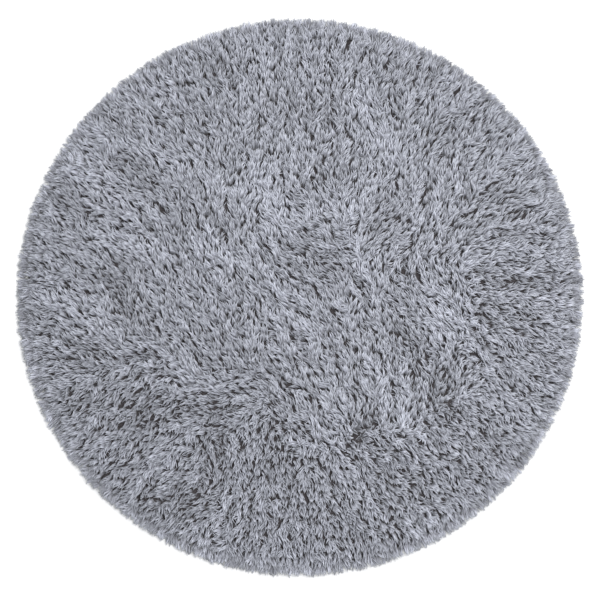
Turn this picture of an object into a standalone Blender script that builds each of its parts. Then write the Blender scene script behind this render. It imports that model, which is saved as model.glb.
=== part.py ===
"""Round shag rug, lying flat: one tufted cloth, so one solid.

The pile is a lumpy slab. Its tufts lean the way the pile was stroked and lean out over the
edge, where two courses of locks stand out of the slab all round and rest on the floor.
Lengths are in metres, angles in degrees, +Z is up, and the origin is the middle of the
underside.
"""

import bmesh
import bpy
import numpy as np
from mathutils.geometry import delaunay_2d_cdt

# Driving dimensions
DIAMETER = 1.200  # across the rim, from lock tip to lock tip
RIM_LOCK_REACH = 0.022  # how far the longest rim lock stands out of the slab
RIM_LOCKS_ROUND = 150  # locks in one course
COURSES = 2  # courses of locks, one above the other
COURSE_HEIGHT = 0.010
HOLLOW_HEIGHT = 0.025  # the pile's surface between its tufts
TUFT_RISE = 0.012  # a tuft's tip above those hollows
TUFT_PITCH = 0.033  # from one tuft's tip to the next
GRID_STEP = TUFT_PITCH / np.sqrt(3)  # from a tip to the six hollows round it
TUFT_LEAN = 0.012  # how far a tuft's tip lies to one side of its root
PARTING_DEPTH = 0.007  # how far the pile sinks where its lay parts
EDGE_FALL = 0.005  # how far it sinks at its edge
EDGE_BAND = 0.070  # how wide the edge is, where the pile falls outwards
EDGE_CLEAR = 0.6 * GRID_STEP  # between the slab's edge and the nearest tuft or hollow

# Shape of one rim lock, as shares of its reach, its width and its course's height
BELLY_AT = 0.62
BELLY_WIDTH = 0.80
BELLY_HEIGHT = 0.68
TIP_RAISED = 0.20
UPPER_DROOP = 0.25  # how far an upper lock's tip sinks
UPPER_SWEEP = 0.45  # of a lock's width, so that an upper tip lies between two lower ones

# Unevenness, as the most that a point moves
TIP_SHORTER = 0.008
TIP_ASIDE = 0.003
TUFT_ASIDE = 0.0045
HEIGHT_SPREAD = 0.0035
ROW_WANDER = 0.009  # how far the rows of tufts wander from straight
ROW_WANDER_LENGTH = 0.21
SEED = 7

# The pile's lay, one row for each stroke of the hand
LAY_COLUMNS = ("x", "y", "heading", "reach")
LAY = (
    (-0.01, 0.47, 94, 0.09),
    (-0.02, 0.34, 92, 0.08),
    (0.14, 0.47, 66, 0.06),
    (0.14, 0.38, 118, 0.05),
    (0.25, 0.22, 82, 0.07),
    (0.37, 0.34, 48, 0.08),
    (0.45, 0.19, 22, 0.07),
    (0.48, 0.02, -8, 0.07),
    (0.44, -0.14, -42, 0.08),
    (0.28, -0.05, 140, 0.06),
    (0.33, -0.38, -50, 0.08),
    (0.20, -0.38, -42, 0.05),
    (0.12, -0.45, -62, 0.06),
    (0.00, -0.46, -86, 0.06),
    (-0.09, -0.33, 245, 0.05),
    (-0.16, -0.22, 188, 0.05),
    (-0.19, -0.42, 182, 0.05),
    (-0.32, -0.38, 230, 0.06),
    (-0.38, -0.23, 210, 0.06),
    (-0.42, -0.12, 168, 0.05),
    (-0.38, -0.04, 106, 0.04),
    (-0.47, 0.07, 148, 0.07),
    (-0.34, 0.22, 150, 0.07),
    (-0.32, 0.38, 128, 0.08),
    (-0.20, 0.18, 100, 0.07),
    (-0.11, 0.23, 78, 0.05),
    (0.00, 0.16, 140, 0.05),
    (0.05, 0.10, 172, 0.04),
    (0.14, 0.16, 55, 0.04),
    (0.20, 0.13, 28, 0.04),
    (0.00, -0.08, 132, 0.07),
    (0.12, -0.08, 102, 0.06),
    (-0.20, -0.13, 132, 0.06),
    (-0.11, -0.09, 90, 0.04),
    (-0.21, 0.02, 118, 0.06),
    (0.21, -0.22, 100, 0.05),
    (0.01, -0.25, 125, 0.05),
)
LAY_OPENING = 0.05  # over this distance the lay turns from one side of a parting to the other

PILE_COLOUR = (0.27, 0.28, 0.32, 1.0)
PILE_ROUGHNESS = 0.95

SLAB_RADIUS = DIAMETER / 2 - RIM_LOCK_REACH
LOCK_WIDTH = 2 * np.pi * SLAB_RADIUS / RIM_LOCKS_ROUND


def clear_scene():
    for item in list(bpy.data.objects):
        bpy.data.objects.remove(item, do_unlink=True)


def edge_share(places):
    """0 over the middle of the rug, rising across the edge band to 1 at the slab's edge."""
    radius = np.linalg.norm(places, axis=1)
    return np.clip((radius - SLAB_RADIUS + EDGE_BAND) / EDGE_BAND, 0, 1)


def lay_of(places):
    """The way the pile leans at each place, one row each: 1 long where it all leans one way, and
    shorter where it parts or meets. It turns outwards across the edge band."""
    stroke = dict(zip(LAY_COLUMNS, np.array(LAY).T))
    away = np.hypot(places[:, :1] - stroke["x"], places[:, 1:] - stroke["y"])
    weight = np.exp(-((away / stroke["reach"]) ** 2))
    weight /= weight.sum(axis=1, keepdims=True)
    heading = np.radians(stroke["heading"])
    stroked = weight @ np.stack((np.cos(heading), np.sin(heading)), axis=1)
    outwards = places / np.maximum(np.linalg.norm(places, axis=1, keepdims=True), GRID_STEP)
    share = edge_share(places)[:, None]
    return stroked * (1 - share) + outwards * share


def opening_of(places):
    """How much the lay opens at each place, from -1 where the pile meets to 1 where it parts."""
    half = LAY_OPENING / 2
    across = lay_of(places + (half, 0))[:, 0] - lay_of(places - (half, 0))[:, 0]
    along = lay_of(places + (0, half))[:, 1] - lay_of(places - (0, half))[:, 1]
    return np.clip((across + along) / 2, -1, 1)


def tuft_grid():
    """Points of an even triangular grid inside the slab's edge, and whether each is a tuft's tip.
    Every third point is one, so six hollows lie round it."""
    count = int(DIAMETER / GRID_STEP)
    i, j = np.meshgrid(np.arange(-count, count + 1), np.arange(-count, count + 1))
    places = GRID_STEP * np.stack((i + j / 2, j * np.sqrt(3) / 2), axis=-1).reshape(-1, 2)
    places += ROW_WANDER * np.sin(2 * np.pi * places[:, ::-1] / ROW_WANDER_LENGTH)
    inside = np.linalg.norm(places, axis=1) < SLAB_RADIUS - EDGE_CLEAR
    return places[inside], ((i - j) % 3 == 0).ravel()[inside]


def pile_points(rng):
    """The points of the pile's surface: tufts raised and leaning, with hollows between them."""
    flat, is_tip = tuft_grid()
    lean = lay_of(flat) * np.where(is_tip, TUFT_LEAN, 0)[:, None]
    places = flat + lean + rng.uniform(-TUFT_ASIDE, TUFT_ASIDE, flat.shape)
    share = edge_share(flat)
    height = HOLLOW_HEIGHT + np.where(is_tip, TUFT_RISE, 0)
    height += rng.uniform(-HEIGHT_SPREAD, HEIGHT_SPREAD, len(flat))
    height -= PARTING_DEPTH * opening_of(flat) * (1 - share) + EDGE_FALL * share**2
    return flat, np.column_stack((places, height))


def ring(height):
    """The slab's edge at one height, anticlockwise seen from above."""
    turn = 2 * np.pi * np.arange(RIM_LOCKS_ROUND) / RIM_LOCKS_ROUND
    level = np.full(RIM_LOCKS_ROUND, height)
    return np.column_stack((SLAB_RADIUS * np.cos(turn), SLAB_RADIUS * np.sin(turn), level))


def add_slab(mesh, rng):
    """Adds the slab: a flat underside, a wall of square faces and the lumpy pile. Returns the
    wall's faces, one list for each course, lowest first."""
    rings = [
        [mesh.verts.new(point) for point in ring(COURSE_HEIGHT * level)]
        for level in range(COURSES + 1)
    ]
    mesh.faces.new(reversed(rings[0]))
    wall = []
    for low, high in zip(rings, rings[1:]):
        beside = zip(low, low[1:] + low[:1], high[1:] + high[:1], high)
        wall.append([mesh.faces.new(corners) for corners in beside])
    flat, raised = pile_points(rng)
    edge = [vertex.co.xy for vertex in rings[-1]]
    found = delaunay_2d_cdt(edge + [tuple(p) for p in flat], [], [], 0, 1e-6)
    points = rings[-1] + [mesh.verts.new(point) for point in raised]
    original = [points[sources[0]] for sources in found[3]]
    for corners in found[2]:
        mesh.faces.new([original[corner] for corner in corners])
    return wall


def draw_out_lock(mesh, face, course, rng):
    """Draws one square face of the wall out into a lock of four sides: a belly, then a tip. Upper
    locks are swept sideways, and the lowest keep their undersides on the floor."""
    middle = face.calc_center_median().xy
    out = middle.normalized()
    side = out.orthogonal()
    reach = RIM_LOCK_REACH - rng.uniform(0, TIP_SHORTER)
    sweep = UPPER_SWEEP * LOCK_WIDTH * course + rng.uniform(-TIP_ASIDE, TIP_ASIDE)
    under = COURSE_HEIGHT * course
    droop = COURSE_HEIGHT * UPPER_DROOP * course
    belly = bmesh.ops.extrude_discrete_faces(mesh, faces=[face])["faces"][0]
    for vertex in belly.verts:
        across = (vertex.co.xy - middle).dot(side) * BELLY_WIDTH + sweep * BELLY_AT
        vertex.co.xy = middle + out * BELLY_AT * reach + side * across
        vertex.co.z = under - droop * BELLY_AT + (vertex.co.z - under) * BELLY_HEIGHT
    tip = bmesh.ops.extrude_discrete_faces(mesh, faces=[belly])["faces"][0]
    end = middle + out * reach + side * sweep
    height = under - droop + COURSE_HEIGHT * TIP_RAISED
    bmesh.ops.pointmerge(mesh, verts=tip.verts[:], merge_co=(*end, height))


def pile_material():
    material = bpy.data.materials.new("pile")
    material.use_nodes = True
    shader = material.node_tree.nodes["Principled BSDF"]
    shader.inputs["Base Color"].default_value = PILE_COLOUR
    shader.inputs["Roughness"].default_value = PILE_ROUGHNESS
    shader.inputs["Metallic"].default_value = 0.0
    return material


def build_rug():
    rng = np.random.default_rng(SEED)
    mesh = bmesh.new()
    for course, faces in enumerate(add_slab(mesh, rng)):
        for face in faces:
            draw_out_lock(mesh, face, course, rng)
    bmesh.ops.triangulate(mesh, faces=mesh.faces[:])
    data = bpy.data.meshes.new("shag_rug")
    mesh.to_mesh(data)
    mesh.free()
    rug = bpy.data.objects.new("shag_rug", data)
    rug.data.materials.append(pile_material())
    bpy.context.scene.collection.objects.link(rug)


clear_scene()
build_rug()
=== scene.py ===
"""The looks of a round shag rug: its ground cloth, the mass of its pile and its locks of fibre.

Lengths are in metres and angles in degrees unless a name says otherwise. +Z is up, the rug
lies on the floor at z = 0 and its middle is the origin.
"""

from __future__ import annotations

import logging
from dataclasses import dataclass, field
from enum import Enum

import bpy
import numpy as np
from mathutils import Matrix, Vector


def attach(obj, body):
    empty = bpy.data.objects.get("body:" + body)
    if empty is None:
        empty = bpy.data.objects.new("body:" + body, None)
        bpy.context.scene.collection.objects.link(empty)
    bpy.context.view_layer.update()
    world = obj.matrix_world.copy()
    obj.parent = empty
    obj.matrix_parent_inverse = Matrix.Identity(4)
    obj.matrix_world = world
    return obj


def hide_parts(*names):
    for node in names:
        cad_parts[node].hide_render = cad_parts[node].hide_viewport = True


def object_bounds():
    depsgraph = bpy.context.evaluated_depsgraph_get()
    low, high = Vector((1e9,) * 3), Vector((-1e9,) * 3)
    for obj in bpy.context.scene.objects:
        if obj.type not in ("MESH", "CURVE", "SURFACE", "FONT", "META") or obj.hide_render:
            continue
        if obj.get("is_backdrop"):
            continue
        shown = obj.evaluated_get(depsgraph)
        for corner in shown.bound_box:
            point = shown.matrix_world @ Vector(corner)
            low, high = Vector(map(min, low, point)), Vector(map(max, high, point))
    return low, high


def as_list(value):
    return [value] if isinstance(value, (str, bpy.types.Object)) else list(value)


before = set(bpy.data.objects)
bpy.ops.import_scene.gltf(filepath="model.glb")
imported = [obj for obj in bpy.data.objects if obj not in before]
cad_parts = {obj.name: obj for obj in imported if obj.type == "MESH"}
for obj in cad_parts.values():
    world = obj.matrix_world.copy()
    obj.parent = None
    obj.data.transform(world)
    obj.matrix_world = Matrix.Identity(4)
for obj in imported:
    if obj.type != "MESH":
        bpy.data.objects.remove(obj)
cad_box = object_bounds()

LOG = logging.getLogger("shag_rug")
Array = np.ndarray
Material = bpy.types.Material
Object = bpy.types.Object
Socket = bpy.types.NodeSocket
Colour = tuple[float, float, float, float]
Span = tuple[float, float]  # two numbers, most often what 0 and 1 are mapped onto

NODE = "shag_rug"
BODY = "root"
FIBRE_MAP = "OFBake"  # the map that holds how far along a fibre a point is, and its tone
TINY = 1e-9  # keeps a division off zero


class Slot(Enum):
    """The record's material slots."""

    PILE = "pile"
    GROUND = "ground_cloth"


class Zone(Enum):
    """The sectors that the pile is made in, anticlockwise from the right."""

    RIGHT_FAR = "locks_right_far"
    FAR = "locks_far"
    LEFT_FAR = "locks_left_far"
    LEFT_NEAR = "locks_left_near"
    NEAR = "locks_near"
    RIGHT_NEAR = "locks_right_near"


# ---- meshes


def smooth_step(value: Array) -> Array:
    """An even rise from 0 to 1: 3v² − 2v³, with v held between 0 and 1.

    Args:
        value: where on the rise each number is.

    Returns:
        The heights of the rise there.
    """
    held = np.clip(value, 0.0, 1.0)
    return held * held * (3.0 - 2.0 * held)


def unit(vectors: Array) -> Array:
    """Each vector divided by its length.

    Args:
        vectors: any array whose last axis holds the vectors.

    Returns:
        The same array with lengths of 1.
    """
    return vectors / np.maximum(np.linalg.norm(vectors, axis=-1, keepdims=True), TINY)


@dataclass
class Skin:
    """A mesh as whole arrays: its points, its faces' corners, each face's size and its maps.

    Fields:
        points: one row for each vertex.
        corners: the vertices of all faces, one after the other.
        sizes: the number of corners of each face.
        maps: for each UV map, one row for each corner.
    """

    points: Array
    corners: Array
    sizes: Array
    maps: dict[str, Array] = field(default_factory=dict)

    def build(self, name: str, material: Material) -> Object:
        """Puts the arrays into a new object at the origin, shaded smooth.

        Args:
            name: the object's name.
            material: what it is made of.

        Returns:
            The new object, in the scene.
        """
        mesh = bpy.data.meshes.new(name)
        mesh.vertices.add(len(self.points))
        mesh.vertices.foreach_set("co", self.points.astype(np.float32).ravel())
        mesh.loops.add(len(self.corners))
        mesh.loops.foreach_set("vertex_index", self.corners.astype(np.int32))
        mesh.polygons.add(len(self.sizes))
        starts = np.concatenate(([0], np.cumsum(self.sizes)[:-1]))
        mesh.polygons.foreach_set("loop_start", starts.astype(np.int32))
        mesh.polygons.foreach_set("use_smooth", np.ones(len(self.sizes), bool))
        for map_name, places in self.maps.items():
            layer = mesh.uv_layers.new(name=map_name, do_init=False)
            layer.uv.foreach_set("vector", places.astype(np.float32).ravel())
        mesh.update(calc_edges=True)
        mesh.validate()
        made = bpy.data.objects.new(name, mesh)
        made.data.materials.append(material)
        bpy.context.scene.collection.objects.link(made)
        return made


@dataclass(frozen=True)
class Slab:
    """A closed round slab: rings of points round its middle, level below.

    Fields:
        radii: the rings' radii, smallest first.
        sectors: the number of points in a ring.
    """

    radii: Array
    sectors: int

    def plan(self) -> tuple[Array, Array]:
        """Where its points lie: each ring's radius times the cosine and sine of the turn.

        Returns:
            x and y, one row for each ring.
        """
        turn = np.arange(self.sectors) * 2 * np.pi / self.sectors
        radius, angle = np.meshgrid(self.radii, turn, indexing="ij")
        return radius * np.cos(angle), radius * np.sin(angle)

    def skin(self, top: Array, middle: float, under: float) -> Skin:
        """Closes the slab: rings out over its top and back under it, and a fan at each end.

        Args:
            top: the top's height at each point of the plan.
            middle: the top's height in the middle.
            under: the underside's height.

        Returns:
            The mesh.
        """
        x, y = self.plan()
        high = np.stack((x, y, top), axis=-1)
        low = np.stack((x, y, np.full_like(top, under)), axis=-1)
        rings = np.concatenate((high, low[::-1]))
        poles = np.array(((0.0, 0.0, middle), (0.0, 0.0, under)))
        points = np.concatenate((rings.reshape(-1, 3), poles))
        number = np.arange(len(points) - 2).reshape(rings.shape[:2])
        beside = np.roll(number, -1, axis=1)
        squares = np.stack((number[:-1], number[1:], beside[1:], beside[:-1]), axis=-1)
        first = np.full(self.sectors, len(points) - 2)
        cap = np.stack((first, number[0], beside[0]), axis=-1)
        base = np.stack((first + 1, beside[-1], number[-1]), axis=-1)
        sizes = np.repeat((4, 3), (squares.size // 4, 2 * self.sectors))
        return Skin(points, np.concatenate((squares.ravel(), cap.ravel(), base.ravel())), sizes)


# ---- finishes


@dataclass
class Nodes:
    """A material's node tree, with short calls that add and join nodes."""

    material: Material

    @classmethod
    def new(cls, name: str) -> Nodes:
        """Starts a material with only its Principled shader and output.

        Args:
            name: the material's name.

        Returns:
            Its node tree.
        """
        material = bpy.data.materials.new(name)
        material.use_nodes = True
        return cls(material)

    def add(self, kind: str, **settings: object) -> bpy.types.Node:
        """Adds a node and sets its properties.

        Args:
            kind: the node's type, without the ShaderNode that starts it.
            settings: the properties to set.

        Returns:
            The new node.
        """
        node = self.material.node_tree.nodes.new(f"ShaderNode{kind}")
        for key, value in settings.items():
            setattr(node, key, value)
        return node

    def join(self, source: Socket, target: Socket) -> None:
        """Links an output to an input."""
        self.material.node_tree.links.new(source, target)

    def shader(self) -> bpy.types.Node:
        """The material's Principled shader."""
        return self.material.node_tree.nodes["Principled BSDF"]

    def place(self) -> Socket:
        """Each point's place on the object's own coordinates."""
        return self.add("TexCoord").outputs["Object"]

    def axes(self, place: Socket) -> tuple[Socket, Socket]:
        """Takes a place apart.

        Args:
            place: the place.

        Returns:
            The first and the second of its numbers.
        """
        node = self.add("SeparateXYZ")
        self.join(place, node.inputs[0])
        return node.outputs[0], node.outputs[1]

    def maths(self, operation: str, *inputs: Socket | float) -> Socket:
        """Adds one sum or other operation on numbers.

        Args:
            operation: the Math node's operation.
            inputs: its numbers, each a socket or a value.

        Returns:
            The result.
        """
        node = self.add("Math", operation=operation)
        for place, given in enumerate(inputs):
            if isinstance(given, Socket):
                self.join(given, node.inputs[place])
            else:
                node.inputs[place].default_value = given
        return node.outputs[0]

    def spread(self, value: Socket, low: float, high: float) -> Socket:
        """Maps 0 to 1 onto low to high.

        Args:
            value: the number, from 0 to 1.
            low: what 0 becomes.
            high: what 1 becomes.

        Returns:
            The result.
        """
        node = self.add("MapRange")
        self.join(value, node.inputs["Value"])
        node.inputs["To Min"].default_value = low
        node.inputs["To Max"].default_value = high
        return node.outputs["Result"]

    def ramp(self, value: Socket, stops: tuple[tuple[float, Colour], ...]) -> Socket:
        """Turns a number into a colour.

        Args:
            value: the number, from 0 to 1.
            stops: places from 0 to 1 with the colour at each.

        Returns:
            The colour.
        """
        node = self.add("ValToRGB")
        elements = node.color_ramp.elements
        while len(elements) < len(stops):
            elements.new(0.5)
        for element, (place, colour) in zip(elements, stops):
            element.position = place
            element.color = colour
        self.join(value, node.inputs["Fac"])
        return node.outputs["Color"]

    def times(self, colour: Socket, factor: Socket) -> Socket:
        """Makes a colour lighter or darker.

        Args:
            colour: the colour.
            factor: what each of its parts is multiplied by.

        Returns:
            The new colour.
        """
        node = self.add("VectorMath", operation="SCALE")
        self.join(colour, node.inputs[0])
        self.join(factor, node.inputs["Scale"])
        return node.outputs[0]

    def noise(self, place: Socket, scale: float, detail: float) -> Socket:
        """Adds a soft random number.

        Args:
            place: where it is read.
            scale: how many times it swells over a length of 1.
            detail: how many finer layers it has.

        Returns:
            The number, from 0 to 1.
        """
        node = self.add("TexNoise")
        self.join(place, node.inputs["Vector"])
        node.inputs["Scale"].default_value = scale
        node.inputs["Detail"].default_value = detail
        return node.outputs["Fac"]

    def bump(self, height: Socket, strength: float, depth: float) -> None:
        """Raises the shader's surface by a height from 0 to 1.

        Args:
            height: the height.
            strength: how strongly it shows, from 0 to 1.
            depth: the length that a height of 1 stands for.
        """
        node = self.add("Bump")
        node.inputs["Strength"].default_value = strength
        node.inputs["Distance"].default_value = depth
        self.join(height, node.inputs["Height"])
        self.join(node.outputs["Normal"], self.shader().inputs["Normal"])


@dataclass(frozen=True)
class FibreFinish:
    """Fine crimped fibre, pale at its tip, with painted shade darkening it towards its root, and
    filaments along it.
    """

    # root and middle: painted shade. The fibre's own colour is its pale tip's; the ramp darkens it
    # where shade falls deep in the pile
    root: Colour = (0.044, 0.038, 0.039, 1.0)
    middle: Colour = (0.390, 0.400, 0.459, 1.0)
    tip: Colour = (0.673, 0.700, 0.779, 1.0)
    middle_at: float = 0.61  # how far along a fibre its middle colour lies
    tone_shade: Span = (0.63, 1.28)  # what the darkest and the palest tone multiply it by
    filaments: float = 380.0  # across all tones, of which one fibre takes a narrow band
    filament_swells: float = 2.2  # along a fibre
    filament_shade: Span = (0.86, 1.14)
    filament_depth: float = 0.0004
    relief: float = 0.5
    roughness: Span = (0.42, 0.66)
    sheen: float = 0.25
    sheen_roughness: float = 0.45
    specular: float = 0.35

    def material(self) -> Material:
        """Makes the fibre's material, which reads only the fibre map.

        Returns:
            The material.
        """
        nodes = Nodes.new("pile_fibre")
        along, tone = nodes.axes(nodes.add("UVMap", uv_map=FIBRE_MAP).outputs[0])
        stretched = nodes.add("CombineXYZ")
        nodes.join(nodes.maths("MULTIPLY", along, self.filament_swells), stretched.inputs[0])
        nodes.join(nodes.maths("MULTIPLY", tone, self.filaments), stretched.inputs[1])
        filament = nodes.noise(stretched.outputs[0], 1.0, 1.0)
        # painted shade: the colour runs from the dark root, deep in the pile's shade, to the
        # fibre's own pale tip
        stops = ((0.0, self.root), (self.middle_at, self.middle), (1.0, self.tip))
        colour = nodes.ramp(along, stops)
        shade = nodes.maths(
            "MULTIPLY",
            nodes.spread(tone, *self.tone_shade),
            nodes.spread(filament, *self.filament_shade),
        )
        shader = nodes.shader()
        nodes.join(nodes.times(colour, shade), shader.inputs["Base Color"])
        nodes.join(nodes.spread(filament, *self.roughness), shader.inputs["Roughness"])
        shader.inputs["Sheen Weight"].default_value = self.sheen
        shader.inputs["Sheen Roughness"].default_value = self.sheen_roughness
        shader.inputs["Specular IOR Level"].default_value = self.specular
        nodes.bump(filament, self.relief, self.filament_depth)
        return nodes.material


@dataclass(frozen=True)
class UnderPileShadeFinish:
    """The mass of yarn between the locks' roots, in dark painted shade: its colours stand for the
    shade deep in the pile.
    """

    # painted shade: both colours are the deep pile's shade, not the yarn's own colour
    dark: Colour = (0.020, 0.017, 0.018, 1.0)
    pale: Colour = (0.076, 0.067, 0.072, 1.0)
    dark_at: float = 0.3
    pale_at: float = 0.7
    strands: float = 420.0
    detail: float = 3.0
    depth: float = 0.0015
    relief: float = 0.8
    roughness: Span = (0.8, 1.0)

    def material(self) -> Material:
        """Makes the material, on the object's own coordinates.

        Returns:
            The material.
        """
        nodes = Nodes.new("under_pile_painted_shade")
        fine = nodes.noise(nodes.place(), self.strands, self.detail)
        colour = nodes.ramp(fine, ((self.dark_at, self.dark), (self.pale_at, self.pale)))
        shader = nodes.shader()
        nodes.join(colour, shader.inputs["Base Color"])
        nodes.join(nodes.spread(fine, *self.roughness), shader.inputs["Roughness"])
        nodes.bump(fine, self.relief, self.depth)
        return nodes.material


@dataclass(frozen=True)
class GroundClothFinish:
    """Plain woven cloth, with the rows of stitches that hold the pile in it."""

    thread: Colour = (0.460, 0.455, 0.445, 1.0)
    gap: Colour = (0.200, 0.198, 0.200, 1.0)
    stitch: Colour = (0.400, 0.410, 0.450, 1.0)
    gap_at: float = 0.35
    thread_at: float = 0.75
    thread_pitch: float = 0.0022
    thread_height: Span = (0.5, 1.0)
    row_pitch: float = 0.0085
    row_cut: float = 0.55  # the higher, the narrower a row of stitches
    row_softness: float = 0.1
    stitch_pitch: float = 0.0060
    stitch_fill: float = 0.5  # the higher, the longer a stitch
    stitch_softness: float = 0.2
    stitch_cover: float = 4.0
    wear_scale: float = 9.0
    wear_detail: float = 3.0
    wear_shade: Span = (0.85, 1.1)
    depth: float = 0.0005
    relief: float = 0.7
    roughness: Span = (0.95, 0.8)

    def material(self) -> Material:
        """Makes the cloth's material, on the object's own coordinates.

        Warp and weft are two sine waves at right angles, multiplied. The stitches are rows of
        bars: a cosine across the rows times one along them, each cut off below a height.

        Returns:
            The material.
        """
        nodes = Nodes.new("ground_cloth_weave")
        place = nodes.place()
        x, y = nodes.axes(place)
        threads = 2 * np.pi / self.thread_pitch
        warp = nodes.maths("SINE", nodes.maths("MULTIPLY", x, threads))
        weft = nodes.maths("SINE", nodes.maths("MULTIPLY", y, threads))
        woven = nodes.spread(nodes.maths("MULTIPLY", warp, weft), *self.thread_height)
        row = nodes.maths("COSINE", nodes.maths("MULTIPLY", x, 2 * np.pi / self.row_pitch))
        row = nodes.maths("SUBTRACT", row, self.row_cut)
        bar = nodes.maths("COSINE", nodes.maths("MULTIPLY", y, 2 * np.pi / self.stitch_pitch))
        bar = nodes.maths("ADD", bar, self.stitch_fill)
        stitched = nodes.maths(
            "MULTIPLY",
            nodes.maths("SMOOTH_MAX", row, 0.0, self.row_softness),
            nodes.maths("SMOOTH_MAX", bar, 0.0, self.stitch_softness),
        )
        cover = nodes.maths("MINIMUM", nodes.maths("MULTIPLY", stitched, self.stitch_cover), 1.0)
        cloth = nodes.ramp(woven, ((self.gap_at, self.gap), (self.thread_at, self.thread)))
        mixed = nodes.add("Mix", data_type="RGBA")
        nodes.join(cover, mixed.inputs["Factor"])
        nodes.join(cloth, mixed.inputs["A"])
        mixed.inputs["B"].default_value = self.stitch
        worn = nodes.noise(place, self.wear_scale, self.wear_detail)
        colour = nodes.times(mixed.outputs["Result"], nodes.spread(worn, *self.wear_shade))
        shader = nodes.shader()
        nodes.join(colour, shader.inputs["Base Color"])
        nodes.join(nodes.spread(woven, *self.roughness), shader.inputs["Roughness"])
        nodes.bump(nodes.maths("ADD", woven, stitched), self.relief, self.depth)
        return nodes.material


@dataclass(frozen=True)
class FloorFinish:
    """A plain white floor with a faint grain."""

    colour: Colour = (0.86, 0.86, 0.86, 1.0)
    grain: float = 60.0
    detail: float = 2.0
    roughness: Span = (0.85, 0.95)
    specular: float = 0.1

    def material(self) -> Material:
        """Makes the floor's material.

        Returns:
            The material.
        """
        nodes = Nodes.new("studio_floor")
        grain = nodes.noise(nodes.place(), self.grain, self.detail)
        shader = nodes.shader()
        shader.inputs["Base Color"].default_value = self.colour
        nodes.join(nodes.spread(grain, *self.roughness), shader.inputs["Roughness"])
        shader.inputs["Specular IOR Level"].default_value = self.specular
        return nodes.material


# ---- the pile's lay


@dataclass(frozen=True)
class Stroke:
    """One stroke of the hand over the pile: where, which way, and how far round it reaches."""

    x: float
    y: float
    heading: float
    reach: float


STROKES = (
    Stroke(-0.01, 0.47, 94, 0.09),
    Stroke(-0.02, 0.34, 92, 0.08),
    Stroke(0.14, 0.47, 66, 0.06),
    Stroke(0.14, 0.38, 118, 0.05),
    Stroke(0.25, 0.22, 82, 0.07),
    Stroke(0.37, 0.34, 48, 0.08),
    Stroke(0.45, 0.19, 22, 0.07),
    Stroke(0.48, 0.02, -8, 0.07),
    Stroke(0.44, -0.14, -42, 0.08),
    Stroke(0.28, -0.05, 140, 0.06),
    Stroke(0.33, -0.38, -50, 0.08),
    Stroke(0.20, -0.38, -42, 0.05),
    Stroke(0.12, -0.45, -62, 0.06),
    Stroke(0.00, -0.46, -86, 0.06),
    Stroke(-0.09, -0.33, 265, 0.05),
    Stroke(-0.16, -0.24, 190, 0.05),
    Stroke(-0.16, -0.36, 285, 0.04),
    Stroke(-0.32, -0.38, 230, 0.06),
    Stroke(-0.38, -0.23, 236, 0.06),
    Stroke(-0.42, -0.12, 152, 0.05),
    Stroke(-0.38, -0.04, 106, 0.04),
    Stroke(-0.47, 0.07, 148, 0.07),
    Stroke(-0.34, 0.22, 150, 0.07),
    Stroke(-0.32, 0.38, 128, 0.08),
    Stroke(-0.20, 0.18, 100, 0.07),
    Stroke(-0.11, 0.23, 78, 0.05),
    Stroke(0.00, 0.16, 140, 0.05),
    Stroke(0.05, 0.10, 172, 0.04),
    Stroke(0.14, 0.16, 55, 0.04),
    Stroke(0.20, 0.13, 28, 0.04),
    Stroke(0.00, -0.08, 132, 0.07),
    Stroke(0.12, -0.08, 102, 0.06),
    Stroke(-0.20, -0.13, 132, 0.06),
    Stroke(-0.11, -0.09, 90, 0.04),
    Stroke(-0.21, 0.02, 118, 0.06),
    Stroke(0.21, -0.22, 100, 0.05),
    Stroke(0.01, -0.25, 125, 0.05),
    Stroke(0.34, -0.18, 80, 0.03),
    Stroke(-0.25, -0.45, 210, 0.05),
    Stroke(0.09, 0.33, 65, 0.04),
    Stroke(0.33, 0.25, 110, 0.03),
)


@dataclass(frozen=True)
class Waves:
    """A smooth random field: plane waves of random headings, lengths and phases, added up."""

    shortest: float
    longest: float
    seed: int
    count: int = 64

    def at(self, places: Array) -> Array:
        """The field's value: the sum of cos(k·p + phase) over the waves, with a spread of 1.

        Args:
            places: x and y, one row for each place.

        Returns:
            One number for each place.
        """
        rng = np.random.default_rng(self.seed)
        heading = rng.uniform(0.0, 2 * np.pi, self.count)
        length = rng.uniform(self.shortest, self.longest, self.count)
        phase = rng.uniform(0.0, 2 * np.pi, self.count)
        turns = 2 * np.pi / length * np.stack((np.cos(heading), np.sin(heading)))
        return np.cos(places @ turns + phase).sum(axis=1) * np.sqrt(2 / self.count)


@dataclass(frozen=True)
class Ridge:
    """A place where the pile is pushed up, or pressed down where its rise is negative."""

    start: Span
    end: Span
    width: float
    rise: float

    def at(self, places: Array) -> Array:
        """Its height at each place: its rise times a bell of the distance from its line.

        Args:
            places: x and y, one row for each place.

        Returns:
            One number for each place.
        """
        start, line = np.array(self.start), np.subtract(self.end, self.start)
        share = np.clip((places - start) @ line / max(line @ line, TINY), 0.0, 1.0)
        away = np.linalg.norm(places - start - share[:, None] * line, axis=1)
        return self.rise * np.exp(-((away / self.width) ** 2))


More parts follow.
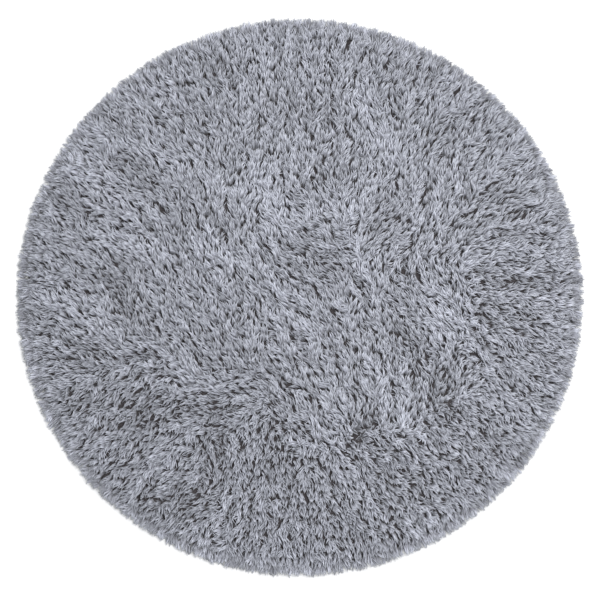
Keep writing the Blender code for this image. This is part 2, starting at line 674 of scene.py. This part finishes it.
RIDGES = (
    Ridge((-0.46, 0.35), (-0.14, 0.22), 0.020, 1.7),
    Ridge((-0.48, 0.28), (-0.38, 0.17), 0.030, 1.8),
    Ridge((-0.42, 0.12), (-0.30, 0.09), 0.022, 1.5),
    Ridge((-0.22, 0.10), (-0.13, 0.06), 0.024, 2.6),
    Ridge((-0.09, 0.26), (-0.06, 0.14), 0.036, 2.6),
    Ridge((-0.04, 0.16), (0.13, 0.18), 0.022, 1.2),
    Ridge((0.12, 0.44), (0.17, 0.33), 0.028, 1.7),
    Ridge((0.17, 0.33), (0.25, 0.27), 0.020, 1.0),
    Ridge((0.29, 0.28), (0.34, 0.22), 0.020, 1.0),
    Ridge((-0.09, 0.53), (-0.05, 0.45), 0.020, 1.1),
    Ridge((-0.34, 0.48), (-0.26, 0.41), 0.022, 1.0),
    Ridge((0.12, 0.09), (0.14, 0.02), 0.026, 0.8),
    Ridge((0.27, 0.02), (0.29, -0.08), 0.030, 2.3),
    Ridge((0.35, -0.02), (0.57, -0.03), 0.018, 1.5),
    Ridge((0.12, -0.13), (0.25, -0.31), 0.020, 1.3),
    Ridge((-0.04, -0.06), (0.03, -0.09), 0.026, 1.4),
    Ridge((0.00, -0.16), (0.09, -0.27), 0.026, 0.9),
    Ridge((-0.10, 0.01), (0.10, -0.05), 0.018, 0.7),
    Ridge((0.34, -0.10), (0.47, -0.28), 0.024, 0.9),
    Ridge((-0.53, -0.01), (-0.43, -0.07), 0.026, 1.2),
    Ridge((0.35, 0.07), (0.40, 0.12), 0.016, 0.9),
    Ridge((0.24, -0.52), (0.33, -0.47), 0.024, 0.9),
    Ridge((0.05, -0.40), (0.07, -0.44), 0.036, 0.5),
    Ridge((-0.38, 0.28), (-0.33, 0.26), 0.022, -1.3),
    Ridge((-0.38, 0.04), (-0.37, -0.04), 0.024, -1.7),
    Ridge((-0.48, -0.14), (-0.44, -0.15), 0.032, -1.1),
    Ridge((-0.45, -0.24), (-0.33, -0.26), 0.040, -0.9),
    Ridge((-0.18, -0.25), (-0.17, -0.33), 0.034, -1.4),
    Ridge((-0.31, -0.45), (-0.23, -0.44), 0.028, -1.8),
    Ridge((-0.12, -0.40), (-0.05, -0.38), 0.024, -0.7),
    Ridge((-0.01, -0.46), (0.00, -0.48), 0.020, -1.0),
    Ridge((0.11, -0.32), (0.14, -0.29), 0.022, -1.5),
    Ridge((0.29, -0.18), (0.31, -0.27), 0.028, -1.8),
    Ridge((0.20, -0.09), (0.23, -0.12), 0.020, -1.0),
    Ridge((0.17, -0.41), (0.19, -0.45), 0.026, -0.9),
    Ridge((0.34, -0.37), (0.40, -0.41), 0.022, -1.0),
    Ridge((0.38, 0.21), (0.47, 0.18), 0.022, -1.2),
    Ridge((0.32, 0.12), (0.36, 0.12), 0.018, -1.1),
    Ridge((0.37, 0.04), (0.50, 0.00), 0.016, -1.2),
    Ridge((0.38, -0.06), (0.48, -0.07), 0.020, -1.0),
    Ridge((0.18, 0.48), (0.28, 0.46), 0.028, -0.9),
    Ridge((0.29, 0.36), (0.31, 0.36), 0.022, -1.0),
    Ridge((-0.02, 0.41), (0.09, 0.37), 0.026, -0.9),
    Ridge((-0.24, 0.50), (-0.12, 0.46), 0.026, -0.8),
    Ridge((-0.18, 0.27), (-0.15, 0.25), 0.018, -1.1),
    Ridge((-0.19, 0.16), (-0.16, 0.14), 0.022, -1.2),
    Ridge((-0.30, 0.13), (-0.26, 0.12), 0.020, -0.9),
    Ridge((-0.09, -0.14), (-0.03, -0.19), 0.026, -0.9),
    Ridge((-0.52, 0.20), (-0.49, 0.20), 0.024, -1.0),
)


@dataclass(frozen=True)
class Lay:
    """The way the pile leans and swells: it leans as stroked, and outwards at the edge."""

    strokes: tuple[Stroke, ...] = STROKES
    ridges: tuple[Ridge, ...] = RIDGES
    blend: float = 0.5  # the share of its reach over which a stroke fades
    edge_radius: float = 0.578
    edge_band: float = 0.070
    waves: Waves = Waves(0.060, 0.200, 3)
    waves_share: float = 0.35
    waves_step: float = 0.014
    furrows: Waves = Waves(0.018, 0.050, 9)
    furrows_share: float = 0.75
    furrows_step: float = 0.006
    steps: int = 4  # taken each way along the lean
    limit: float = 2.5  # of a swell

    def at(self, places: Array) -> Array:
        """The lean at each place: the strokes' headings, each weighed by how near it is.

        A stroke's weight falls off as exp(−distance/(blend × reach)), so that the lean turns
        softly from one stroke to the next. Across the edge band it turns evenly outwards.

        Args:
            places: x and y, one row for each place.

        Returns:
            A level vector for each place, shorter than 1 where the pile parts or meets.
        """
        table = np.array([(s.x, s.y, s.heading, s.reach) for s in self.strokes])
        away = np.hypot(places[:, :1] - table[:, 0], places[:, 1:] - table[:, 1])
        weight = np.exp(-away / (self.blend * table[:, 3]))
        weight /= weight.sum(axis=1, keepdims=True)
        heading = np.radians(table[:, 2])
        stroked = weight @ np.stack((np.cos(heading), np.sin(heading)), axis=1)
        radius = np.linalg.norm(places, axis=1, keepdims=True)
        share = np.clip((radius - self.edge_radius + self.edge_band) / self.edge_band, 0.0, 1.0)
        return stroked * (1.0 - share) + unit(places) * share

    def drawn_out(self, waves: Waves, places: Array, step: float) -> Array:
        """A random field averaged along the lean, a step at a time both ways.

        Args:
            waves: the random field.
            places: x and y, one row for each place.
            step: the length of a step.

        Returns:
            One number for each place, with a spread of 1.
        """
        total = waves.at(places)
        for way in (-1.0, 1.0):
            walk = places
            for _ in range(self.steps):
                walk = walk + way * step * unit(self.at(walk))
                total = total + waves.at(walk)
        return (total - total.mean()) / total.std()

    def swells(self, places: Array) -> Array:
        """How high and full the pile lies at each place.

        It is the sum of the ridges, of long swells and of narrow furrows, both of which follow
        the lean.

        Args:
            places: x and y, one row for each place.

        Returns:
            One number for each place, held between −limit and limit.
        """
        total = sum(ridge.at(places) for ridge in self.ridges)
        total = total + self.waves_share * self.drawn_out(self.waves, places, self.waves_step)
        total += self.furrows_share * self.drawn_out(self.furrows, places, self.furrows_step)
        return np.clip(total, -self.limit, self.limit)


# ---- the pile


@dataclass(frozen=True)
class Tilt:
    """A lock's angle from upright, at its root or at its tip.

    Fields:
        upright: the angle where the pile parts or meets.
        leaning: the angle where it all leans one way.
        scatter: how far single locks differ.
        at_edge: the least and the greatest angle at the rug's edge.
    """

    upright: float
    leaning: float
    scatter: float
    at_edge: Span

    def at(self, rng: np.random.Generator, strength: Array, more: Array, edge: Array) -> Array:
        """The angle goes evenly from upright to leaning, and from there to the edge's own.

        Args:
            rng: the source of chance.
            strength: how much of the pile leans one way, from 0 to 1.
            more: what the swell of the pile adds.
            edge: 0 over the middle, rising to 1 at the rim.

        Returns:
            One angle for each lock.
        """
        angle = self.upright + (self.leaning - self.upright) * strength
        angle = angle + more + rng.normal(0.0, self.scatter, len(more))
        return angle * (1 - edge) + rng.uniform(*self.at_edge, len(more)) * edge


@dataclass(frozen=True)
class Stand:
    """How the locks stand, with one number or row for each lock.

    Fields:
        roots: x and y of its root.
        heading: the way it leans, in radians.
        rise: its angle from upright at its root.
        bend: its angle from upright at its tip.
        length: its length.
        height: its root's height.
        swell: how high and full the pile lies there, which also sets painted shade and light on its
            fibres.
    """

    roots: Array
    heading: Array
    rise: Array
    bend: Array
    length: Array
    height: Array
    swell: Array


@dataclass
class Locks:
    """Locks of fibre: each a group of tapered fibres that bend over and close in on one tip.

    The locks' tips are spread evenly over the rug, and each root lies back along the lean.
    """

    lay: Lay
    seed: int = 11

    # where they lie
    pitch: float = 0.0117
    scatter: float = 0.25  # of the pitch
    grid_inset: float = 0.007
    rim_locks: int = 380
    rim_scatter: float = 0.3  # of the way to the next lock
    rim_inset: float = 0.002
    rim_softness: float = 0.003
    tip_radius: float = 0.600
    tip_shorter: float = 0.0018
    settled: float = 0.7  # how much of a lock's reach lies back from its place
    root_height: float = 0.009
    least_height: float = 1.6  # in fibre radii
    tallest: float = 0.047

    # how they lean and bend
    rise: Tilt = Tilt(4.0, 14.0, 9.0, (18.0, 66.0))
    bend: Tilt = Tilt(42.0, 72.0, 15.0, (118.0, 178.0))
    least_bend: float = 8.0
    edge_from: float = 0.554
    mingle: float = 0.008  # how far off a lock takes its lean from
    wander_upright: float = 26.0
    wander_leaning: float = 9.1
    swirl: Waves = Waves(0.030, 0.080, 5)
    swirl_turn: float = 15.0
    edge_calm: float = 0.6
    edge_uneven: float = 2.2
    length: float = 0.036
    length_range: Span = (0.86, 1.08)
    lock_height: float = 0.0016
    swell_height: float = 0.0030
    swell_bend: float = 7.0

    # the fibres of one lock
    fibres: int = 8
    root_spread: float = 0.0060
    tip_spread: float = 0.0010
    gather: float = 2.9
    flatness: float = 0.7
    crimp: float = 0.0008
    fibre_turn: float = 7.5
    fibre_bend: float = 11.25
    least_sweep: float = 6.0
    fibre_shortest: float = 0.80
    side_shorter: float = 0.12
    stray_share: float = 0.18
    stray_turn: float = 26.0
    stray_lift: float = 0.0020
    stray_thickness: float = 0.5

    # one fibre's skin: its rings lie at the inner knots, and its section is in its own radius
    fibre_radius: float = 0.0021
    radius_range: Span = (0.60, 1.35)
    knots: tuple[float, ...] = (0.0, 0.34, 0.66, 1.0)
    thickness: tuple[float, ...] = (1.0, 0.72)
    section: tuple[Span, ...] = ((1.0, -0.3), (0.0, 0.45), (-1.0, -0.3))
    roll: float = 25.0

    # its tone, partly random and partly painted shade and light, and its place on the fibre map
    lock_tone: float = 0.22
    fibre_tone: float = 0.20
    # painted shade: fibres low in a lock are darker, those on top of it lighter
    depth_painted_shade: float = 0.32
    # painted shade in the pile's hollows and painted light on its ridges; at the rim the swell also
    # holds random unevenness
    swell_painted_shade: float = 0.185
    stray_tone: float = 0.3
    tone_from: float = 0.02
    tone_reach: float = 0.96
    tone_band: float = 0.010
    # painted light: the underside strip is mapped further along the fibre, so it is paler than the
    # shade it lies in
    underside: float = 0.8

    def places(self, rng: np.random.Generator) -> Array:
        """Where the locks lie: an even triangular grid and a ring round the rim.

        The grid's rows are √0.75 of its pitch apart, and each lock is moved at random.

        Args:
            rng: the source of chance.

        Returns:
            x and y, one row for each lock.
        """
        count = int(2 * self.tip_radius / self.pitch) + 2
        i, j = np.meshgrid(np.arange(-count, count + 1), np.arange(-count, count + 1))
        grid = self.pitch * np.stack((i + j / 2, j * np.sqrt(0.75)), axis=-1).reshape(-1, 2)
        grid += rng.uniform(-self.scatter, self.scatter, grid.shape) * self.pitch
        grid = grid[np.linalg.norm(grid, axis=1) < self.tip_radius - self.grid_inset]
        aside = rng.uniform(-self.rim_scatter, self.rim_scatter, self.rim_locks)
        turn = (np.arange(self.rim_locks) + aside) * 2 * np.pi / self.rim_locks
        rim = (self.tip_radius - self.rim_inset) * np.stack((np.cos(turn), np.sin(turn)), axis=1)
        return np.concatenate((grid, rim))

    def stand(self, rng: np.random.Generator) -> Stand:
        """Settles how each lock leans and bends, and draws back those that reach past the rim.

        Args:
            rng: the source of chance.

        Returns:
            How the locks stand.
        """
        places = self.places(rng)
        locks = len(places)
        lean = self.lay.at(places + rng.normal(0.0, self.mingle, places.shape))
        swell = self.lay.swells(places)
        strength = np.minimum(np.linalg.norm(lean, axis=1), 1.0)
        radius = np.linalg.norm(places, axis=1)
        edge = smooth_step((radius - self.edge_from) / (self.tip_radius - self.edge_from))
        loose = 1.0 - (1.0 - self.wander_leaning / self.wander_upright) * strength
        swirled = self.swirl_turn * (1 - self.edge_calm * edge) * self.swirl.at(places)
        wander = np.radians(rng.normal(0.0, self.wander_upright, locks) * loose + swirled)
        heading = np.arctan2(lean[:, 1], lean[:, 0]) + wander
        rise = self.rise.at(rng, strength, self.swell_bend * swell, edge)
        bend = self.bend.at(rng, strength, self.swell_bend * swell, edge)
        bend = np.maximum(bend, rise + self.least_bend)
        length = self.length * rng.uniform(*self.length_range, locks)
        height = self.root_height + self.swell_height * swell * (1 - edge)
        height = height + np.abs(rng.normal(0.0, self.lock_height, locks))
        first, last = np.radians(rise), np.radians(bend)
        reach = length * (np.cos(first) - np.cos(last)) / (last - first)
        level = np.stack((np.cos(heading), np.sin(heading)), axis=1)
        roots = places - self.settled * reach[:, None] * level
        tips = roots + reach[:, None] * level
        limit = self.tip_radius - np.abs(rng.normal(0.0, self.tip_shorter, locks))
        far = np.linalg.norm(tips, axis=1)
        at_rim = np.arange(locks) >= locks - self.rim_locks
        back = np.where(at_rim, far - limit, np.maximum(far - limit, 0.0))
        roots -= back[:, None] * unit(tips)
        swell = swell + self.edge_uneven * edge * rng.normal(0.0, 1.0, locks)
        return Stand(roots, heading, rise, bend, length, height, swell)

    def build(self) -> dict[Zone, Skin]:
        """Grows the fibres of every lock along an arc of a circle, and skins them.

        With the angle from upright going evenly from rise to bend along the arc, a point at
        share s of the length l lies l(cos rise − cos angle)/(bend − rise) out and
        l(sin angle − sin rise)/(bend − rise) up. The fibres lie round that arc, spread by
        tip + (root − tip)(1 − s^gather).

        Returns:
            A mesh for each zone.
        """
        rng = np.random.default_rng(self.seed)
        stand = self.stand(rng)
        which = np.repeat(np.arange(len(stand.roots)), self.fibres)
        count = len(which)
        turn = rng.uniform(0.0, 2 * np.pi, count)
        off = np.sqrt(rng.uniform(0.0, 1.0, count))
        aside, above = off * np.cos(turn), off * np.sin(turn)
        stray = rng.uniform(0.0, 1.0, count) < self.stray_share
        astray = stray * rng.normal(0.0, self.stray_turn, count)
        ways = stand.heading[which] + np.radians(rng.normal(0.0, self.fibre_turn, count) + astray)
        start = np.radians(stand.rise[which] + rng.normal(0.0, self.fibre_turn, count))
        turn_by = (stand.bend - stand.rise)[which] + rng.normal(0.0, self.fibre_bend, count)
        sweep = np.radians(np.maximum(turn_by, self.least_sweep))
        reach = stand.length[which] * (1.0 - self.side_shorter * off)
        reach *= rng.uniform(self.fibre_shortest, 1.0, count)
        knots = np.array(self.knots)
        angle = start[:, None] + sweep[:, None] * knots
        out = reach[:, None] * (np.cos(start)[:, None] - np.cos(angle)) / sweep[:, None]
        up = reach[:, None] * (np.sin(angle) - np.sin(start)[:, None]) / sweep[:, None]
        spread = self.tip_spread + (self.root_spread - self.tip_spread) * (1 - knots**self.gather)
        crimp = rng.normal(0.0, self.crimp, (count, len(knots))) * (knots > 0)
        level = np.stack((np.cos(ways), np.sin(ways), np.zeros(count)), axis=1)
        side = np.stack((-np.sin(ways), np.cos(ways), np.zeros(count)), axis=1)
        upright = np.array((0.0, 0.0, 1.0))
        tangent = np.sin(angle)[:, :, None] * level[:, None] + np.cos(angle)[:, :, None] * upright
        normal = np.cross(tangent, side[:, None])
        centre = np.zeros((count, len(knots), 3))
        centre[:, :, :2] = stand.roots[which][:, None]
        centre[:, :, 2] = stand.height[which][:, None]
        centre += out[:, :, None] * level[:, None] + up[:, :, None] * upright
        centre += side[:, None] * (spread * aside[:, None] + crimp)[:, :, None]
        centre += normal * (self.flatness * spread * above[:, None])[:, :, None]
        centre[:, 1:, 2] += self.stray_lift * stray[:, None]
        self.keep_in(centre)
        # The tone is random for each lock and fibre, plus painted shade that darkens fibres low in
        # a lock.
        tone = (
            self.lock_tone * rng.uniform(0.0, 1.0, len(stand.roots))[which]
            + self.fibre_tone * rng.uniform(0.0, 1.0, count)
            + self.depth_painted_shade * (0.5 + 0.5 * above)
        )
        # painted shade in the pile's hollows and painted light on its ridges
        tone = tone + self.swell_painted_shade * stand.swell[which] + self.stray_tone * stray
        tone = np.clip(tone, 0.0, 1.0)
        thick = self.fibre_radius * rng.uniform(*self.radius_range, count)
        thick *= np.where(stray, self.stray_thickness, 1.0)
        return self.skin(rng, centre, side, normal, thick, tone)

    def keep_in(self, centre: Array) -> None:
        """Keeps fibres inside the rim, above the floor and under the tallest height.

        A knot that reaches a distance p into the rim's softness d, or past it, is drawn back
        to d(1 − exp(−p/d)).

        Args:
            centre: the fibres' knots, which are changed in place.
        """
        soft = self.rim_softness
        radius = np.linalg.norm(centre[:, :, :2], axis=2)
        past = np.maximum(radius - (self.tip_radius - soft), 0.0)
        kept = (radius - past + soft * (1 - np.exp(-past / soft))) / np.maximum(radius, TINY)
        centre[:, :, :2] *= kept[:, :, None]
        low = self.least_height * self.fibre_radius
        centre[:, :, 2] = np.clip(centre[:, :, 2], low, self.tallest)

    def skin(
        self,
        rng: np.random.Generator,
        centre: Array,
        side: Array,
        normal: Array,
        thick: Array,
        tone: Array,
    ) -> dict[Zone, Skin]:
        """Wraps each fibre in a three-sided skin that comes to a point at its root and its tip.

        A ring's corners lie at centre + r(w side + t normal), with each w and t a corner of
        the section, turned by the fibre's roll. The root's point is buried in the mass. A
        fibre goes into the zone whose sector its first ring lies in.

        Args:
            rng: the source of chance.
            centre: the fibres' knots.
            side: each fibre's level sideways direction.
            normal: each knot's upper direction, across the fibre.
            thick: each fibre's radius.
            tone: each fibre's tone, from 0 to 1.

        Returns:
            A mesh for each zone.
        """
        count, rings = len(centre), len(self.thickness)
        roll = np.radians(rng.normal(0.0, self.roll, count))[:, None]
        wide, tall = np.array(self.section).T
        radius = thick[:, None] * np.array(self.thickness)
        across = (
            (wide * np.cos(roll) - tall * np.sin(roll))[:, None, :, None] * side[:, None, None]
            + (wide * np.sin(roll) + tall * np.cos(roll))[:, None, :, None] * normal[:, 1:-1, None]
        )
        ring = centre[:, 1:-1, None] + radius[:, :, None, None] * across
        points = np.concatenate((ring.reshape(count, -1, 3), centre[:, (0, -1)]), axis=1)
        per_fibre = 3 * rings + 2
        corners, sizes, places = self.one_fibre(rings)
        turn = np.arctan2(centre[:, 1, 1], centre[:, 1, 0]) % (2 * np.pi)
        zone = (turn * len(Zone) / (2 * np.pi)).astype(int) % len(Zone)
        found: dict[Zone, Skin] = {}
        for number, name in enumerate(Zone):
            mine = np.flatnonzero(zone == number)
            shift = np.arange(len(mine))[:, None] * per_fibre
            shade = self.tone_from + self.tone_reach * tone[mine][:, None]
            u = np.broadcast_to(places[:, 0], (len(mine), len(places)))
            v = shade + self.tone_band * places[:, 1]
            found[name] = Skin(
                points[mine].reshape(-1, 3),
                (corners + shift).ravel(),
                np.tile(sizes, len(mine)),
                {FIBRE_MAP: np.stack((u, v), axis=-1).reshape(-1, 2)},
            )
        return found

    def one_fibre(self, rings: int) -> tuple[Array, Array, Array]:
        """The faces of one fibre: a fan at its root, its sides and a fan at its tip.

        Its map goes from 0 to 1 along it and from −1 to 1 round it. The last of its three
        strips is its underside, which gets painted light: less of the painted root shade shows
        on it, as a place at share s is mapped as underside + (1 − underside)s.

        Args:
            rings: the number of rings of three points, after which come the root and the tip.

        Returns:
            The corners of its faces, each face's size, and each corner's place on the map.
        """
        knots = np.array(self.knots)
        edges = (-1.0, -1 / 3, 1 / 3, 1.0)
        faces = []
        for level in range(-1, rings):
            lower, upper = 3 * level, 3 * level + 3
            # the underside strip starts further along the ramp: painted light
            for here, pale in enumerate((0.0, 0.0, self.underside)):
                after, low, high = (here + 1) % 3, edges[here], edges[here + 1]
                at = pale + (1 - pale) * knots
                start = (lower + here, at[level + 1], low), (lower + after, at[level + 1], high)
                end = (upper + after, at[level + 2], high), (upper + here, at[level + 2], low)
                if level < 0:
                    start, end = end, ((3 * rings, at[0], (low + high) / 2),)
                elif level == rings - 1:
                    end = ((3 * rings + 1, at[-1], (low + high) / 2),)
                faces.append(start + end)
        rows = np.concatenate(faces)
        return rows[:, 0].astype(int), np.array([len(face) for face in faces]), rows[:, 1:]


@dataclass
class Pile:
    """The pile: a lumpy mass of yarn with the locks that stand out of it."""

    lay: Lay = Lay()
    mass_radius: float = 0.570
    mass_floor: float = 0.0026
    mass_height: float = 0.0135
    mass_edge_height: float = 0.0045
    mass_falls_from: float = 0.53
    mass_fall: float = 0.0405  # how far out from there its edge's height is reached
    lump_height: float = 0.0025
    lump_size: float = 0.009
    lump_wander: float = 3.0
    wander_turns: Span = (7.0, 9.0)
    rings: int = 40
    sectors: int = 160

    def mass(self) -> Skin:
        """The mass of yarn: a round slab, level below and lumpy above.

        Its rings are spaced by equal areas. Its top is the mass's height, falling to the edge's
        height along a quarter of an ellipse, plus lumps: sin(x/size + wander sin(y turns))
        times the same with x and y changed over.

        Returns:
            The mesh.
        """
        radii = np.sqrt(np.linspace(0.0, 1.0, self.rings + 1))[1:] * self.mass_radius
        slab = Slab(radii, self.sectors)
        x, y = slab.plan()
        share = np.clip((radii[:, None] - self.mass_falls_from) / self.mass_fall, 0.0, 1.0)
        fall = np.sqrt(np.clip(1 - share**2, 0.0, 1.0))
        along, across = self.wander_turns
        lump = np.sin(x / self.lump_size + self.lump_wander * np.sin(y * along))
        lump = lump * np.sin(y / self.lump_size + self.lump_wander * np.sin(x * across))
        top = self.mass_edge_height + (self.mass_height - self.mass_edge_height) * fall
        top = top + self.lump_height * lump * fall
        return slab.skin(top, self.mass_height, self.mass_floor)

    def build(self) -> list[Object]:
        """Builds and dresses the mass and the locks.

        Returns:
            The pieces.
        """
        made = [self.mass().build("pile_mass", UnderPileShadeFinish().material())]
        fibre = FibreFinish().material()
        for zone, skin in Locks(self.lay).build().items():
            made.append(skin.build(zone.value, fibre))
        return made


@dataclass
class GroundCloth:
    """The woven cloth that the pile is tufted through."""

    radius: float = 0.573
    thickness: float = 0.0018
    lift: float = 0.0004
    rings: int = 10
    sectors: int = 160

    def build(self) -> Object:
        """Builds the cloth as a closed flat disc.

        Returns:
            The piece.
        """
        slab = Slab(np.linspace(0.0, 1.0, self.rings + 1)[1:] * self.radius, self.sectors)
        height = self.lift + self.thickness
        skin = slab.skin(np.full((self.rings, self.sectors), height), height, self.lift)
        return skin.build("ground_cloth", GroundClothFinish().material())

    def declare(self, cloth: Object, pile: list[Object]) -> None:
        """Turns the pile into a list, which is not kept.

        Args:
            cloth: the cloth; not used.
            pile: the pieces of the pile.
        """
        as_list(pile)


# ---- the studio


@dataclass(frozen=True)
class Lamp:
    """A square lamp: where it hangs, its side and its power in watts."""

    place: tuple[float, float, float]
    size: float
    power: float


@dataclass
class Studio:
    """A white floor, a soft lamp overhead and a weak one behind, and the camera over the rug."""

    elevation: float = 79.9
    distance: float = 4.0
    picture_width: float = 1.2555
    sensor: float = 36.0  # in millimetres
    aim: tuple[float, float, float] = (0.0, -0.0208, 0.012)
    floor_half: float = 6.0
    key: Lamp = Lamp((0.6, -0.4, 3.8), 1.4, 112.0)
    back: Lamp = Lamp((0.3, 2.8, 3.0), 2.0, 40.0)
    room: Colour = (0.97, 0.985, 1.0, 1.0)
    room_light: float = 0.66

    def floor(self) -> Object:
        """Lays the floor, a level square.

        Returns:
            The floor.
        """
        corners = np.array(((-1.0, -1.0, 0.0), (1.0, -1.0, 0.0), (1.0, 1.0, 0.0), (-1.0, 1.0, 0.0)))
        points = self.floor_half * corners
        skin = Skin(points, np.arange(4), np.array([4]))
        laid = skin.build("floor", FloorFinish().material())
        laid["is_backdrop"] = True
        return laid

    def camera(self) -> Object:
        """Sets the camera at the picture's angle and points it at the rug.

        Returns:
            The camera.
        """
        data = bpy.data.cameras.new("camera")
        data.sensor_width = self.sensor
        data.lens = data.sensor_width * self.distance / self.picture_width
        made = bpy.data.objects.new("camera", data)
        tilt = np.radians(self.elevation)
        aim = Vector(self.aim)
        made.location = aim + self.distance * Vector((0.0, -np.cos(tilt), np.sin(tilt)))
        made.rotation_euler = (aim - made.location).to_track_quat("-Z", "Y").to_euler()
        bpy.context.scene.collection.objects.link(made)
        bpy.context.scene.camera = made
        return made

    def hang(self, name: str, lamp: Lamp) -> Object:
        """Hangs a lamp that points at the rug's middle.

        Args:
            name: the lamp's name.
            lamp: its place, size and power.

        Returns:
            The lamp.
        """
        data = bpy.data.lights.new(name, "AREA")
        data.size = lamp.size
        data.energy = lamp.power
        made = bpy.data.objects.new(name, data)
        made.location = lamp.place
        made.rotation_euler = (-Vector(lamp.place)).to_track_quat("-Z", "Y").to_euler()
        bpy.context.scene.collection.objects.link(made)
        return made

    def build(self) -> None:
        """Sets up the floor, the lights, the room's light and the camera."""
        self.floor()
        self.hang("key_light", self.key)
        self.hang("back_light", self.back)
        world = bpy.data.worlds.new("studio")
        world.use_nodes = True
        shade = world.node_tree.nodes["Background"]
        shade.inputs["Color"].default_value = self.room
        shade.inputs["Strength"].default_value = self.room_light
        scene = bpy.context.scene
        scene.world = world
        scene.view_settings.view_transform = "Standard"
        self.camera()


# ---- the rug


def enter(piece: Object, slot: Slot) -> None:
    """Makes a piece ride on the body, and hides the solid.

    Args:
        piece: the piece.
        slot: its slot; not used.
    """
    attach(piece, BODY)
    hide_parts(NODE)
    LOG.info("%s rides on %s, in %d faces", piece.name, BODY, len(piece.data.polygons))


def write_boxes() -> None:
    """Works out the solid's box and the dressed rug's box as plain lists of numbers, and keeps
    neither.
    """
    boxes = {"cad": cad_box, "visual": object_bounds()}
    plain = {name: [[float(x) for x in corner] for corner in box] for name, box in boxes.items()}


def main() -> None:
    """Builds the studio, the ground cloth and the pile, and enters each piece."""
    logging.basicConfig(level=logging.INFO, format="%(name)s: %(message)s")
    Studio().build()
    ground = GroundCloth()
    cloth = ground.build()
    enter(cloth, Slot.GROUND)
    pile = Pile().build()
    for piece in pile:
        enter(piece, Slot.PILE)
    ground.declare(cloth, pile)
    write_boxes()


if __name__ == "__main__":
    main()
